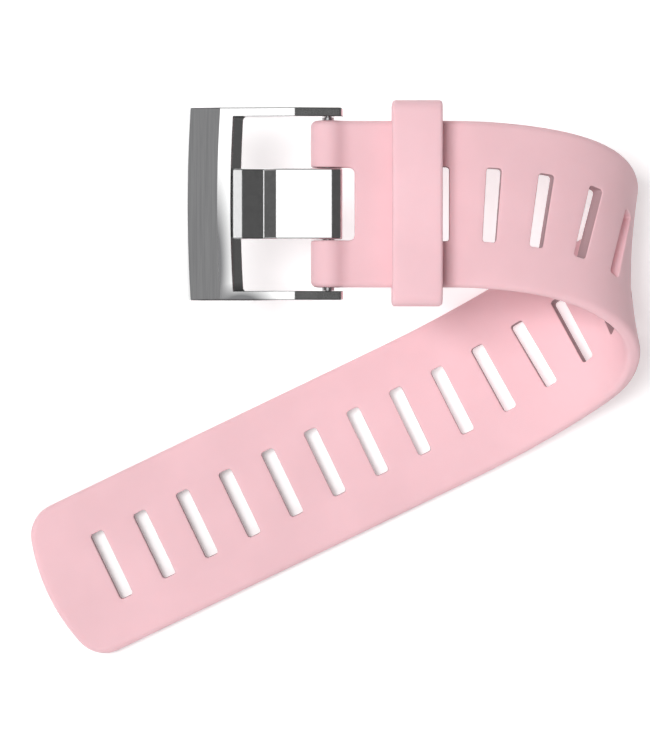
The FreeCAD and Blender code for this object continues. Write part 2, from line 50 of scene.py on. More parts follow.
PITCH = 7.1
FIRST_SLOT = 16.4
SLOTS = 19
SLOT_LONG = 10.7
SLOT_WIDE = 2.05
SLOT_CORNER = 0.45
SLOT_ROUND = 0.16
TIP_LENGTH = 10.6
TIP_BOW = 30.0
TIP_CORNER = 5.0
HALF_WIDTH = 12.0
HALF_THICK = 1.2
EDGE_ROUND = 0.9
LUG_RADIUS = 2.5
LUG_BLEND = 3.0
LUG_BORE = 0.95
NOTCH_HALF = 5.25
NOTCH_DEEP = 3.8
NOTCH_CORNER = 0.8
NOTCH_ROUND = 0.3
NOTCH_REACH = 50.0          # how far the notch goes on past the lugs: any long way

KEEPER_CENTRE = 12.75
KEEPER_LENGTH = 7.2
KEEPER_WIDE = 29.4
KEEPER_ROOM = 25.6
KEEPER_WALL = 1.8
KEEPER_GAP = 5.6
KEEPER_BACK = 1.5
KEEPER_CORNER = 1.6
KEEPER_INNER = 0.6
KEEPER_RIM = 0.5
KEEPER_CROWN = 0.12

# The fold, at one station per slot: how far the strap has turned over, veered and rolled.
BEND = [0, 2, 10, 29, 57, 91, 127, 158, 170.5, 173, 176, 180]
DIVE = [0, -4, -9, -18, -30, -39, -36, -31, -31, -29, -27, -25.7]
ROLL = [0, -1, -2, -3, -3, 1, 6, 6, 3, 0, -1, 0]
LAST = len(BEND) - 1
STEPS_PER_PITCH = 40
BEND_SLOT = 4               # the slot at the tightest part of the fold
BEND_SLOT_PAINTED_SHADE = 0.12       # how much painted shade its walls get, beside 1 for the other slots

# How far apart the vertices are, in millimetres.
LUG_STEP = 0.4              # round the lugs and up to the first slot
EDGE_STEP = 0.6             # along the long edges and the slots' ends
WALL_STEP = 0.9             # along the slots' sides, the notch and the ends of the lugs
FACE_STEP = 1.0             # across the flat face
FACE_START, FACE_END = -11, 11.01
FACE_MARGIN = 0.3           # bare strip beside every edge of the flat face
BEND_ROWS = 12              # rows of vertices per slot in the fold
FLAT_ROWS = 6               # and past it

# How many steps each turn is divided into.
TIP_STEPS = 12
NOTCH_STEPS = 6
SLOT_STEPS = 5
OUTER_LEVELS = 6            # over the rounding of the long edges
INNER_LEVELS = 3            # over the rounding of the notch and the slots
DRILL_LENGTH = 0.03         # metres
DRILL_SIDES = 40
SHARP_ANGLE = 38            # degrees
KEEPER_TURN_STEPS = 8
KEEPER_LONG_STEPS = 26
KEEPER_SHORT_STEPS = 6
KEEPER_LENGTH_STEPS = 12
KEEPER_RIM_STEPS = 5

# Tolerances.
COUNT_SLACK = 1e-9
TRIANGULATE_WITHIN = 1e-5   # millimetres
WELD_WITHIN = 2e-6          # metres
TINY_EDGE = 1e-7            # metres

low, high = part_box("spring_bar_tube")
PIN = (Vector(low) + Vector(high)) / 2


# ---------------------------------------------------------------- the strap's path

def smooth(values, place):
    """Value at a fractional station, on a cubic curve through the stations."""
    index = min(int(place), LAST - 1)
    part = place - index
    start, end = values[index], values[index + 1]
    slope_start = (end - values[index - 1]) / 2 if index > 0 else 0
    slope_end = (values[index + 2] - start) / 2 if index + 2 <= LAST else 0
    square, cube = part ** 2, part ** 3
    return (
        (2 * cube - 3 * square + 1) * start
        + (cube - 2 * square + part) * slope_start
        + (3 * square - 2 * cube) * end
        + (cube - square) * slope_end
    )


def attitude(place):
    """Columns: along the strap, across it, out of its outer face."""
    place = min(max(place, 0), LAST)
    bend = Matrix.Rotation(math.radians(smooth(BEND, place)), 3, "Y")
    dive = Matrix.Rotation(math.radians(smooth(DIVE, place)), 3, "Z")
    roll = Matrix.Rotation(math.radians(smooth(ROLL, place)), 3, "X")
    return bend @ dive @ roll


PATH = [Vector((FIRST_SLOT, 0, 0))]
for count in range(LAST * STEPS_PER_PITCH):
    heading = attitude((count + 0.5) / STEPS_PER_PITCH) @ Vector((1, 0, 0))
    PATH.append(PATH[-1] + heading * (PITCH / STEPS_PER_PITCH))


def carry(along, across, out):
    """Point of the folded strap, in metres, from its place on the strap laid out flat."""
    place = (along - FIRST_SLOT) / PITCH
    if place <= 0:
        point = Vector((along, across, out))
    elif place >= LAST:
        turn = attitude(LAST)
        point = PATH[-1] + turn @ Vector(((place - LAST) * PITCH, across, out))
    else:
        step = place * STEPS_PER_PITCH
        index = min(int(step), len(PATH) - 2)
        centre = PATH[index].lerp(PATH[index + 1], step - index)
        point = centre + attitude(place) @ Vector((0, across, out))
    return PIN + point * MM


# ---------------------------------------------------------------- the strap's profile and outlines

BLEND_X = math.sqrt((LUG_RADIUS + LUG_BLEND) ** 2 - (HALF_THICK + LUG_BLEND) ** 2)
BLEND_LEAN = math.atan2(HALF_THICK + LUG_BLEND, BLEND_X)
BLEND_START = BLEND_X - LUG_BLEND * (math.pi / 2 - BLEND_LEAN)
LUG_END = BLEND_START - LUG_RADIUS * (math.pi - BLEND_LEAN)
LENGTH = FIRST_SLOT + (SLOTS - 1) * PITCH + TIP_LENGTH
BOW_X = LENGTH - TIP_BOW
CORNER_Y = HALF_WIDTH - TIP_CORNER
CORNER_X = BOW_X + math.sqrt((TIP_BOW - TIP_CORNER) ** 2 - CORNER_Y ** 2)
TOUCH = math.atan2(CORNER_Y, CORNER_X - BOW_X)


def profile(u):
    """Outer face of the strap seen from its side, as point and outward normal.

    Beyond the hollow blend u is the distance from the bar. Before it, u is measured along
    the face: round the blend, then round the lug to its end.
    """
    if u >= BLEND_X:
        return u, HALF_THICK, 0.0, 1.0
    if u >= BLEND_START:
        turn = (BLEND_X - u) / LUG_BLEND
        x = BLEND_X - LUG_BLEND * math.sin(turn)
        z = HALF_THICK + LUG_BLEND * (1 - math.cos(turn))
        return x, z, math.sin(turn), math.cos(turn)
    turn = BLEND_LEAN + (BLEND_START - u) / LUG_RADIUS
    return LUG_RADIUS * math.cos(turn), LUG_RADIUS * math.sin(turn), math.cos(turn), math.sin(turn)


def sink(inset, radius):
    """How far a rounded edge has dropped at a distance in from the side."""
    if inset >= radius:
        return 0.0
    return radius - math.sqrt(max(radius ** 2 - (radius - inset) ** 2, 0))


def place_vertex(u, across, depth, side):
    x, z, normal_x, normal_z = profile(u)
    return carry(x - depth * normal_x, across, side * (z - depth * normal_z))


def spread(start, end, gap):
    """Numbers from start to end, no further apart than gap, without the end."""
    count = max(1, math.ceil(abs(end - start) / gap - COUNT_SLACK))
    return [start + (end - start) * i / count for i in range(count)]


def arc(centre, radius, start, end, count):
    return [
        (centre[0] + radius * math.cos(start + (end - start) * i / count),
         centre[1] + radius * math.sin(start + (end - start) * i / count))
        for i in range(count)
    ]


def side_chain(inset):
    """One long edge, the tip and the other long edge, moved in by inset."""
    half = HALF_WIDTH - inset
    edge = [(u, half) for u in spread(LUG_END, FIRST_SLOT, LUG_STEP)]
    edge += [(u, half) for u in spread(FIRST_SLOT, CORNER_X, EDGE_STEP)]
    corner = arc((CORNER_X, CORNER_Y), TIP_CORNER - inset, math.pi / 2, TOUCH, TIP_STEPS)
    half_bow = arc((BOW_X, 0), TIP_BOW - inset, TOUCH, 0, TIP_STEPS)
    upper = edge + corner + half_bow
    return upper + [(BOW_X + TIP_BOW - inset, 0.0)] + [(u, -w) for u, w in reversed(upper)]


def notch_chain(inset):
    """Edge of the notch between the lugs, moved in by inset."""
    half = NOTCH_HALF + inset
    centre = (NOTCH_DEEP - NOTCH_CORNER, NOTCH_HALF - NOTCH_CORNER)
    upper = [(u, half) for u in spread(LUG_END, centre[0], LUG_STEP)]
    upper += arc(centre, NOTCH_CORNER + inset, math.pi / 2, 0, NOTCH_STEPS)
    upper += [(NOTCH_DEEP + inset, w) for w in spread(centre[1], 0, WALL_STEP)]
    return upper + [(NOTCH_DEEP + inset, 0.0)] + [(u, -w) for u, w in reversed(upper)]


def slot_chain(index, inset):
    """Closed edge of a slot, moved out into the strap by inset."""
    middle = FIRST_SLOT + index * PITCH
    radius = SLOT_CORNER + inset
    x, y = SLOT_WIDE / 2 - SLOT_CORNER, SLOT_LONG / 2 - SLOT_CORNER
    points = arc((middle + x, y), radius, 0, math.pi / 2, SLOT_STEPS)
    points += [(u, y + radius) for u in spread(middle + x, middle - x, EDGE_STEP)]
    points += arc((middle - x, y), radius, math.pi / 2, math.pi, SLOT_STEPS)
    points += [(middle - x - radius, w) for w in spread(y, -y, WALL_STEP)]
    points += arc((middle - x, -y), radius, math.pi, 1.5 * math.pi, SLOT_STEPS)
    points += [(u, -y - radius) for u in spread(middle - x, middle + x, EDGE_STEP)]
    points += arc((middle + x, -y), radius, 1.5 * math.pi, 2 * math.pi, SLOT_STEPS)
    points += [(middle + x + radius, w) for w in spread(-y, y, WALL_STEP)]
    return points


def gap_to_rectangle(u, w, middle, half_u, half_w, radius):
    """Signed distance to a rounded rectangle centred on w = 0."""
    over_u = abs(u - middle) - (half_u - radius)
    over_w = abs(w) - (half_w - radius)
    return math.hypot(max(over_u, 0), max(over_w, 0)) + min(max(over_u, over_w), 0) - radius


def gap_inside(u, w):
    """Distance from the nearest edge of the strap's flat face; negative off the face."""
    gaps = [HALF_WIDTH - EDGE_ROUND - abs(w)]
    if u > CORNER_X:
        lean = math.atan2(abs(w), u - BOW_X)
        if lean <= TOUCH:
            gaps.append(TIP_BOW - EDGE_ROUND - math.hypot(u - BOW_X, w))
        else:
            reach = math.hypot(u - CORNER_X, abs(w) - CORNER_Y)
            gaps.append(TIP_CORNER - EDGE_ROUND - reach)
    gaps.append(gap_to_rectangle(u, w, NOTCH_DEEP + NOTCH_ROUND - NOTCH_REACH, NOTCH_REACH,
                                 NOTCH_HALF + NOTCH_ROUND, NOTCH_CORNER + NOTCH_ROUND))
    nearest = round((u - FIRST_SLOT) / PITCH)
    nearest = min(max(nearest, 0), SLOTS - 1)
    gaps.append(gap_to_rectangle(u, w, FIRST_SLOT + nearest * PITCH,
                                 SLOT_WIDE / 2 + SLOT_ROUND, SLOT_LONG / 2 + SLOT_ROUND,
                                 SLOT_CORNER + SLOT_ROUND))
    return min(gaps)


def insets(radius, count):
    """Distances in from an edge, outermost first, at even turns round its rounding."""
    return [radius * (1 - math.cos(math.pi / 2 * i / count)) for i in range(count + 1)]


def new_object(name, mesh):
    obj = bpy.data.objects.new(name, mesh)
    bpy.context.scene.collection.objects.link(obj)
    return obj


def baked(obj):
    """Applies the object's modifiers to its mesh."""
    graph = bpy.context.evaluated_depsgraph_get()
    mesh = bpy.data.meshes.new_from_object(obj.evaluated_get(graph))
    obj.modifiers.clear()
    old = obj.data
    obj.data = mesh
    bpy.data.meshes.remove(old)


def make_strap_mesh():
    """Closed mesh: both faces from one flat triangulation, and rounded walls round each edge."""
    bm = bmesh.new()
    # Share of painted shade on each vertex of the slots' walls, read by the rubber's colour.
    wall = bm.verts.layers.float.new("wall")
    seen = {}

    def vertex(u, w, depth, side):
        key = (round(u, 5), round(w, 5), round(depth, 5), side)
        if key not in seen:
            seen[key] = bm.verts.new(place_vertex(u, w, depth, side))
        return seen[key]

    # Maker, rounding radius, steps over it, and how much painted shade the walls get: 0 for an
    # open edge.
    chains = [(side_chain, EDGE_ROUND, OUTER_LEVELS, 0),
              (notch_chain, NOTCH_ROUND, INNER_LEVELS, 0)]
    for index in range(SLOTS):
        dark = BEND_SLOT_PAINTED_SHADE if index == BEND_SLOT else 1.0
        chains.append((lambda inset, i=index: slot_chain(i, inset),
                       SLOT_ROUND, INNER_LEVELS, dark))

    points, edges = [], []
    for maker, radius, count, dark in chains:
        closed = dark > 0
        levels = insets(radius, count)
        rings = [maker(inset) for inset in levels]
        rims = {}
        for side in (1, -1):
            rims[side] = [
                [vertex(u, w, sink(inset, radius), side) for u, w in ring]
                for inset, ring in zip(levels, rings)
            ]
        # The slots' walls take painted shade.
        if closed:
            for ring in (rims[1][0], rims[-1][0]):
                for v in ring:
                    v[wall] = dark
        strips = list(reversed(rims[1])) + rims[-1]
        total = len(rings[0])
        for one, two in zip(strips, strips[1:]):
            for i in range(total if closed else total - 1):
                j = (i + 1) % total
                corners = []
                for v in (one[i], one[j], two[j], two[i]):
                    if v not in corners:
                        corners.append(v)
                if len(corners) >= 3:
                    bm.faces.new(corners)
        first = len(points)
        points += rings[-1]
        edges += [(first + i, first + i + 1) for i in range(total - 1)]
        if closed:
            edges.append((first + total - 1, first))

    # The face stops at the ends of the lugs, where both faces meet.
    for sign in (1, -1):
        ends = [HALF_WIDTH - EDGE_ROUND, NOTCH_HALF + NOTCH_ROUND]
        points += [(LUG_END, sign * w) for w in spread(ends[0], ends[1], WALL_STEP)[1:]]
    bend_end = FIRST_SLOT + LAST * PITCH
    lines = spread(LUG_END, FIRST_SLOT, LUG_STEP)
    lines += spread(FIRST_SLOT, bend_end, PITCH / BEND_ROWS)
    lines += spread(bend_end, LENGTH, PITCH / FLAT_ROWS)
    for u in lines[1:]:
        for w in spread(FACE_START, FACE_END, FACE_STEP):
            if gap_inside(u, w) > FACE_MARGIN:
                points.append((u, w))
    result = delaunay_2d_cdt([Vector(p) for p in points], edges, [], 0, TRIANGULATE_WITHIN)
    flat, triangles = result[0], result[2]
    for triangle in triangles:
        corners = [flat[i] for i in triangle]
        middle = sum((Vector(c) for c in corners), Vector((0, 0))) / 3
        if gap_inside(middle.x, middle.y) <= 0:
            continue
        for side in (1, -1):
            face = [vertex(c.x, c.y, 0.0, side) for c in corners]
            bm.faces.new(face if side > 0 else list(reversed(face)))

    bmesh.ops.remove_doubles(bm, verts=bm.verts, dist=WELD_WITHIN)
    bmesh.ops.dissolve_degenerate(bm, edges=bm.edges, dist=TINY_EDGE)
    bmesh.ops.recalc_face_normals(bm, faces=bm.faces)
    mesh = bpy.data.meshes.new("strap_skin")
    bm.to_mesh(mesh)
    bm.free()
    return mesh


def make_drill():
    """Closed cylinder along the spring bar."""
    bm = bmesh.new()
    turn = Matrix.Translation(PIN) @ Matrix.Rotation(math.pi / 2, 4, "X")
    bmesh.ops.create_cone(bm, cap_ends=True, segments=DRILL_SIDES, radius1=LUG_BORE * MM,
                          radius2=LUG_BORE * MM, depth=DRILL_LENGTH, matrix=turn)
    mesh = bpy.data.meshes.new("bore_drill")
    bm.to_mesh(mesh)
    bm.free()
    return new_object("bore_drill", mesh)


def make_strap():
    """The strap's mesh with the spring bar's bore cut through its lugs."""
    strap = new_object("strap_skin", make_strap_mesh())
    drill = make_drill()
    cut = strap.modifiers.new("bore", "BOOLEAN")
    cut.operation = "DIFFERENCE"
    cut.solver = "EXACT"
    cut.object = drill
    baked(strap)
    bpy.data.objects.remove(drill)
    strap.data.shade_smooth()
    strap.data.set_sharp_from_angle(angle=math.radians(SHARP_ANGLE))
    return strap


# ---------------------------------------------------------------- keeper loop

def loop_outline(wide, high, radius):
    """Points round a rounded rectangle across (Y) and up (Z), and their outward normals."""
    y, z = wide / 2 - radius, high / 2 - radius
    corners = [(y, z), (-y, z), (-y, -z), (y, -z)]
    points = []
    for index, (cy, cz) in enumerate(corners):
        start = index * math.pi / 2
        for i in range(KEEPER_TURN_STEPS + 1):
            lean = start + math.pi / 2 * i / KEEPER_TURN_STEPS
            direction = Vector((0, math.cos(lean), math.sin(lean)))
            points.append((Vector((0, cy, cz)) + direction * radius, direction))
        following = corners[(index + 1) % 4]
        here, there = points[-1][0], Vector((0, *following)) + points[-1][1] * radius
        count = KEEPER_LONG_STEPS if index % 2 == 0 else KEEPER_SHORT_STEPS
        for i in range(1, count):
            points.append((here.lerp(there, i / count), points[-1][1]))
    return points


def make_keeper():
    """Soft loop: one rounded section carried round a rounded rectangle."""
    high = KEEPER_GAP + 2 * KEEPER_WALL
    outer = loop_outline(KEEPER_WIDE, high, KEEPER_CORNER)
    inner = loop_outline(KEEPER_ROOM, KEEPER_GAP, KEEPER_INNER)
    half = KEEPER_LENGTH / 2
    rim = KEEPER_RIM
    flat = half - rim
    turns = [math.pi / 2 * i / KEEPER_RIM_STEPS for i in range(KEEPER_RIM_STEPS + 1)]
    # Section: place along the strap, the face it belongs to (0 outside, 1 inside), and how
    # much deeper into the wall it lies than that face. It goes round once: over the outer
    # face, round the rim, back over the inner face and round the other rim.
    section = []
    for i in range(KEEPER_LENGTH_STEPS + 1):
        section.append((flat * (1 - 2 * i / KEEPER_LENGTH_STEPS), 0.0, 0.0))
    for lean in turns[1:]:
        section.append((-flat - rim * math.sin(lean), 0.0, rim * (1 - math.cos(lean))))
    for lean in turns:
        section.append((-flat - rim * math.cos(lean), 1.0, -rim * (1 - math.sin(lean))))
    for i in range(1, KEEPER_LENGTH_STEPS + 1):
        section.append((flat * (2 * i / KEEPER_LENGTH_STEPS - 1), 1.0, 0.0))
    for lean in turns[1:]:
        section.append((flat + rim * math.sin(lean), 1.0, -rim * (1 - math.cos(lean))))
    for lean in turns[:-1]:
        section.append((flat + rim * math.cos(lean), 0.0, rim * (1 - math.sin(lean))))

    centre = PIN + Vector((KEEPER_CENTRE, 0, KEEPER_GAP / 2 - KEEPER_BACK)) * MM
    bm = bmesh.new()
    rings = []
    for (outside, normal), (inside, _) in zip(outer, inner):
        wall = outside - inside
        thick = wall.length
        inward = -wall / thick
        ring = []
        for x, level, extra in section:
            depth = level * thick + extra
            crown = KEEPER_CROWN * (1 - (x / half) ** 2) * (1 - level) * normal.z ** 2
            point = outside + inward * depth + normal * crown
            point.x = x
            ring.append(bm.verts.new(centre + point * MM))
        rings.append(ring)
    for one, two in zip(rings, rings[1:] + rings[:1]):
        for i in range(len(one)):
            j = (i + 1) % len(one)
            bm.faces.new((one[i], one[j], two[j], two[i]))
    bmesh.ops.recalc_face_normals(bm, faces=bm.faces)
    mesh = bpy.data.meshes.new("keeper_skin")
    bm.to_mesh(mesh)
    bm.free()
    keeper = new_object("keeper_skin", mesh)
    keeper.data.shade_smooth()
    return keeper


# ---------------------------------------------------------------- materials

STRAP_PINK = (0.855, 0.543, 0.584)
KEEPER_PINK = (0.90, 0.575, 0.62)
TONGUE_GREY = (0.93, 0.93, 0.93)
BAR_GREY = (0.55, 0.55, 0.56)
POLISHED_GREYS = [(0.3, (0.90, 0.90, 0.90)), (0.7, (0.94, 0.94, 0.94))]      # noise, colour
BRUSHED_GREYS = [(0.3, (0.27, 0.27, 0.275)), (0.7, (0.35, 0.35, 0.355))]

EDGE_SAMPLES = 8
# Painted reflection along the polished edges: a dark line in the colour.
EDGE_STARTS, EDGE_FULL = 0.985, 0.90    # cosine of the soft normal's turn from the face's
EDGE_REFLECTION_DARK = (0.09, 0.09, 0.092, 1)
WALL_PAINTED_SHADE = 0.5                         # share of the rubber's colour left in a slot's wall under its painted shade

# On the frame, in millimetres from the spring bar.
# Painted reflection: soft grey patches on the polished band, with their colour, strength and
# height.
REFLECTION_SPOTS = [((-16.9, -9.0), (3.6, 16.0)), ((-12.4, -14.6), (5.8, 3.4))]  # centre, reach
REFLECTION_GREY = (0.18, 0.18, 0.185, 1)
REFLECTION_GAIN = 1.8
REFLECTION_HEIGHT = 10
FRAME_EDGE = 0.22
BRUSHED_FROM = -15.0                    # the brushed face lies beyond this
BRUSHED_LEAN = -0.13                    # and faces outwards at least this much,
BRUSHED_UP = 0.8                        # and upwards this much


def new_material(name):
    material = bpy.data.materials.new(name)
    material.use_nodes = True
    nodes = material.node_tree.nodes
    return material, material.node_tree, nodes["Principled BSDF"]


def add_noise(tree, scale, detail, roughness=0.5, stretch=(1, 1, 1)):
    """Noise in object space, in cycles per metre."""
    coords = tree.nodes.new("ShaderNodeTexCoord")
    mapping = tree.nodes.new("ShaderNodeMapping")
    mapping.inputs["Scale"].default_value = stretch
    noise = tree.nodes.new("ShaderNodeTexNoise")
    noise.inputs["Scale"].default_value = scale
    noise.inputs["Detail"].default_value = detail
    noise.inputs["Roughness"].default_value = roughness
    tree.links.new(coords.outputs["Object"], mapping.inputs["Vector"])
    tree.links.new(mapping.outputs["Vector"], noise.inputs["Vector"])
    return noise.outputs["Fac"]


def ramp(tree, source, stops):
    node = tree.nodes.new("ShaderNodeValToRGB")
    elements = node.color_ramp.elements
    while len(elements) < len(stops):
        elements.new(0.5)
    for element, (position, colour) in zip(elements, stops):
        element.position = position
        element.color = (*colour, 1)
    tree.links.new(source, node.inputs["Fac"])
    return node.outputs["Color"]


def spread_value(tree, source, low_value, high_value):
    node = tree.nodes.new("ShaderNodeMapRange")
    node.inputs["To Min"].default_value = low_value
    node.inputs["To Max"].default_value = high_value
    tree.links.new(source, node.inputs["Value"])
    return node.outputs["Result"]


def add_bump(tree, source, distance, strength, below=None):
    node = tree.nodes.new("ShaderNodeBump")
    node.inputs["Distance"].default_value = distance
    node.inputs["Strength"].default_value = strength
    tree.links.new(source, node.inputs["Height"])
    if below is not None:
        tree.links.new(below, node.inputs["Normal"])
    return node.outputs["Normal"]


def worn_edges(tree, radius):
    """Normals that turn softly over the hard edges, as polishing leaves them."""
    node = tree.nodes.new("ShaderNodeBevel")
    node.samples = EDGE_SAMPLES
    node.inputs["Radius"].default_value = radius * MM
    return node.outputs["Normal"]


def paint_edge_reflection(tree, colour, soft_normal):
    """Paints a dark line into the colour of the polished edges, as painted reflection of the
    tent's dark sides.
    """
    facing = tree.nodes.new("ShaderNodeNewGeometry")
    agree = tree.nodes.new("ShaderNodeVectorMath")
    agree.operation = "DOT_PRODUCT"
    tree.links.new(facing.outputs["True Normal"], agree.inputs[0])
    tree.links.new(soft_normal, agree.inputs[1])
    edge = tree.nodes.new("ShaderNodeMapRange")
    edge.inputs["From Min"].default_value = EDGE_STARTS
    edge.inputs["From Max"].default_value = EDGE_FULL
    tree.links.new(agree.outputs["Value"], edge.inputs["Value"])
    mix = tree.nodes.new("ShaderNodeMix")
    mix.data_type = "RGBA"
    mix.inputs["B"].default_value = EDGE_REFLECTION_DARK
    tree.links.new(edge.outputs["Result"], mix.inputs["Factor"])
    tree.links.new(colour, mix.inputs["A"])
    return mix.outputs["Result"]


def rubber(name, colour):
    """Matte silicone: faint mottling, fine grain, and a little light carried inside.

    The mesh's "wall" attribute paints shade onto the walls of the slots.
    """
    material, tree, shader = new_material(name)
    mottle = add_noise(tree, scale=90, detail=4)
    darker = tuple(c * 0.965 for c in colour)
    lighter = tuple(min(c * 1.02, 1) for c in colour)
    surface = ramp(tree, mottle, [(0.35, darker), (0.65, lighter)])
    # Painted shade in the slots' walls, from the mesh's wall attribute.
    wall = tree.nodes.new("ShaderNodeAttribute")
    wall.attribute_name = "wall"
    shaded = tree.nodes.new("ShaderNodeMix")
    shaded.data_type = "RGBA"
    shaded.inputs["B"].default_value = (*(c * WALL_PAINTED_SHADE for c in colour), 1)
    tree.links.new(wall.outputs["Fac"], shaded.inputs["Factor"])
    tree.links.new(surface, shaded.inputs["A"])
    tree.links.new(shaded.outputs["Result"], shader.inputs["Base Color"])
    grain = add_noise(tree, scale=5200, detail=3)
    tree.links.new(spread_value(tree, grain, 0.5, 0.66), shader.inputs["Roughness"])
    fine = add_bump(tree, grain, distance=0.00002, strength=0.35)
    wave = add_noise(tree, scale=260, detail=2)
    tree.links.new(add_bump(tree, wave, distance=0.00006, strength=0.25, below=fine),
                   shader.inputs["Normal"])
    shader.inputs["Specular IOR Level"].default_value = 0.35
    shader.inputs["Subsurface Weight"].default_value = 0.12
    shader.inputs["Subsurface Scale"].default_value = 0.0012
    shader.inputs["Subsurface Radius"].default_value = (1.0, 0.55, 0.5)
    return material


def steel(name, colour, roughness, scratch, along=(1, 1, 1), edge=0.05):
    """Metal with fine lines and a dark line of painted reflection along its edges; edge is the
    radius of its worn edges, in millimetres.
    """
    material, tree, shader = new_material(name)
    shader.inputs["Metallic"].default_value = 1.0
    lines = add_noise(tree, scale=1500, detail=3, roughness=0.6, stretch=along)
    darker = tuple(c * 0.93 for c in colour)
    soft_normal = worn_edges(tree, edge)
    surface = ramp(tree, lines, [(0.3, darker), (0.7, colour)])
    tree.links.new(paint_edge_reflection(tree, surface, soft_normal), shader.inputs["Base Color"])
    tree.links.new(spread_value(tree, lines, roughness[0], roughness[1]),
                   shader.inputs["Roughness"])
    tree.links.new(add_bump(tree, lines, distance=0.00001, strength=scratch, below=soft_normal),
                   shader.inputs["Normal"])
    return material


def frame_steel():
    """Polished steel, with a satin brushed face on the outer slope of the front bar."""
    material, tree, polished = new_material("frame_steel")
    nodes, links = tree.nodes, tree.links
    polished.inputs["Metallic"].default_value = 1.0
    fine = add_noise(tree, scale=700, detail=4)
    surface = ramp(tree, fine, POLISHED_GREYS)
    # Soft grey patches of painted reflection, where the polished band mirrors something beside the
    # camera.
    for centre, reach in REFLECTION_SPOTS:
        place = nodes.new("ShaderNodeTexCoord")
        mapping = nodes.new("ShaderNodeMapping")
        mapping.vector_type = "TEXTURE"
        mapping.inputs["Location"].default_value = (PIN.x + centre[0] * MM,
                                                    PIN.y + centre[1] * MM, PIN.z)
        mapping.inputs["Scale"].default_value = (reach[0] * MM, reach[1] * MM,
                                                 REFLECTION_HEIGHT * MM)
        spot = nodes.new("ShaderNodeTexGradient")
        spot.gradient_type = "SPHERICAL"
        links.new(place.outputs["Object"], mapping.inputs["Vector"])
        links.new(mapping.outputs["Vector"], spot.inputs["Vector"])
        reflected_grey = nodes.new("ShaderNodeMix")
        reflected_grey.data_type = "RGBA"
        reflected_grey.inputs["B"].default_value = REFLECTION_GREY
        links.new(spread_value(tree, spot.outputs["Fac"], 0.0, REFLECTION_GAIN),
                  reflected_grey.inputs["Factor"])
        links.new(surface, reflected_grey.inputs["A"])
        surface = reflected_grey.outputs["Result"]
    soft_normal = worn_edges(tree, FRAME_EDGE)
    # A dark line of painted reflection along the edges.
    links.new(paint_edge_reflection(tree, surface, soft_normal), polished.inputs["Base Color"])
    links.new(spread_value(tree, fine, 0.09, 0.16), polished.inputs["Roughness"])
    links.new(add_bump(tree, fine, distance=0.00001, strength=0.05, below=soft_normal),
              polished.inputs["Normal"])

    brushed = nodes.new("ShaderNodeBsdfPrincipled")
    brushed.inputs["Metallic"].default_value = 1.0
    lines = add_noise(tree, scale=2600, detail=3, roughness=0.65, stretch=(1, 0.03, 1))
    links.new(ramp(tree, lines, BRUSHED_GREYS), brushed.inputs["Base Color"])
    links.new(spread_value(tree, lines, 0.30, 0.42), brushed.inputs["Roughness"])
    links.new(add_bump(tree, lines, distance=0.00002, strength=0.3), brushed.inputs["Normal"])

    # The brushed face: the outer part of the bar, where it slopes down and outwards.
    coords = nodes.new("ShaderNodeTexCoord")
    split = nodes.new("ShaderNodeSeparateXYZ")
    links.new(coords.outputs["Object"], split.inputs["Vector"])
    facing = nodes.new("ShaderNodeNewGeometry")
    # The normal is taken in the frame's own directions, so the mask turns with the frame.
    own_normal = nodes.new("ShaderNodeVectorTransform")
    own_normal.vector_type = "NORMAL"
    own_normal.convert_from = "WORLD"
    own_normal.convert_to = "OBJECT"
    split_normal = nodes.new("ShaderNodeSeparateXYZ")
    links.new(facing.outputs["True Normal"], own_normal.inputs["Vector"])
    links.new(own_normal.outputs["Vector"], split_normal.inputs["Vector"])
    tests = [(split.outputs["X"], "LESS_THAN", PIN.x + BRUSHED_FROM * MM),
             (split_normal.outputs["X"], "LESS_THAN", BRUSHED_LEAN),
             (split_normal.outputs["Z"], "GREATER_THAN", BRUSHED_UP)]
    answer = None
    for source, operation, limit in tests:
        test = nodes.new("ShaderNodeMath")
        test.operation = operation
        test.inputs[1].default_value = limit
        links.new(source, test.inputs[0])
        if answer is None:
            answer = test.outputs[0]
            continue
        both = nodes.new("ShaderNodeMath")
        both.operation = "MULTIPLY"
        links.new(answer, both.inputs[0])
        links.new(test.outputs[0], both.inputs[1])
        answer = both.outputs[0]
    mix = nodes.new("ShaderNodeMixShader")
    links.new(answer, mix.inputs["Fac"])
    links.new(polished.outputs["BSDF"], mix.inputs[1])
    links.new(brushed.outputs["BSDF"], mix.inputs[2])
    links.new(mix.outputs["Shader"], nodes["Material Output"].inputs["Surface"])
    return material


def dress(node, material):
    """Gives a CAD node its finish."""
    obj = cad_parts[node]
    for item in obj.material_slots:
        item.material = material
    if not obj.material_slots:
        obj.data.materials.append(material)


# ---------------------------------------------------------------- the object

strap = make_strap()
strap.data.materials.append(rubber("strap_rubber", STRAP_PINK))
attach(strap, "strap")
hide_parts("strap")

keeper = make_keeper()
keeper.data.materials.append(rubber("keeper_rubber", KEEPER_PINK))
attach(keeper, "keeper")
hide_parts("keeper_loop")

dress("buckle_frame", frame_steel())
dress("buckle_tongue", steel("tongue_steel", TONGUE_GREY, roughness=(0.10, 0.18),
                             scratch=0.08, edge=FRAME_EDGE))
bar_steel = steel("bar_steel", BAR_GREY, roughness=(0.22, 0.34),
                  scratch=0.2, along=(1, 0.1, 1))
for piece in ("spring_bar_tube", "spring_bar_plunger_upper", "spring_bar_plunger_lower",
              "spring_bar_spring"):
    dress(piece, bar_steel)


# ---------------------------------------------------------------- studio

FLOOR_SIZE = 3.0
FLOOR_DROP = 0.0001                     # keeps it clear of the strap's underside
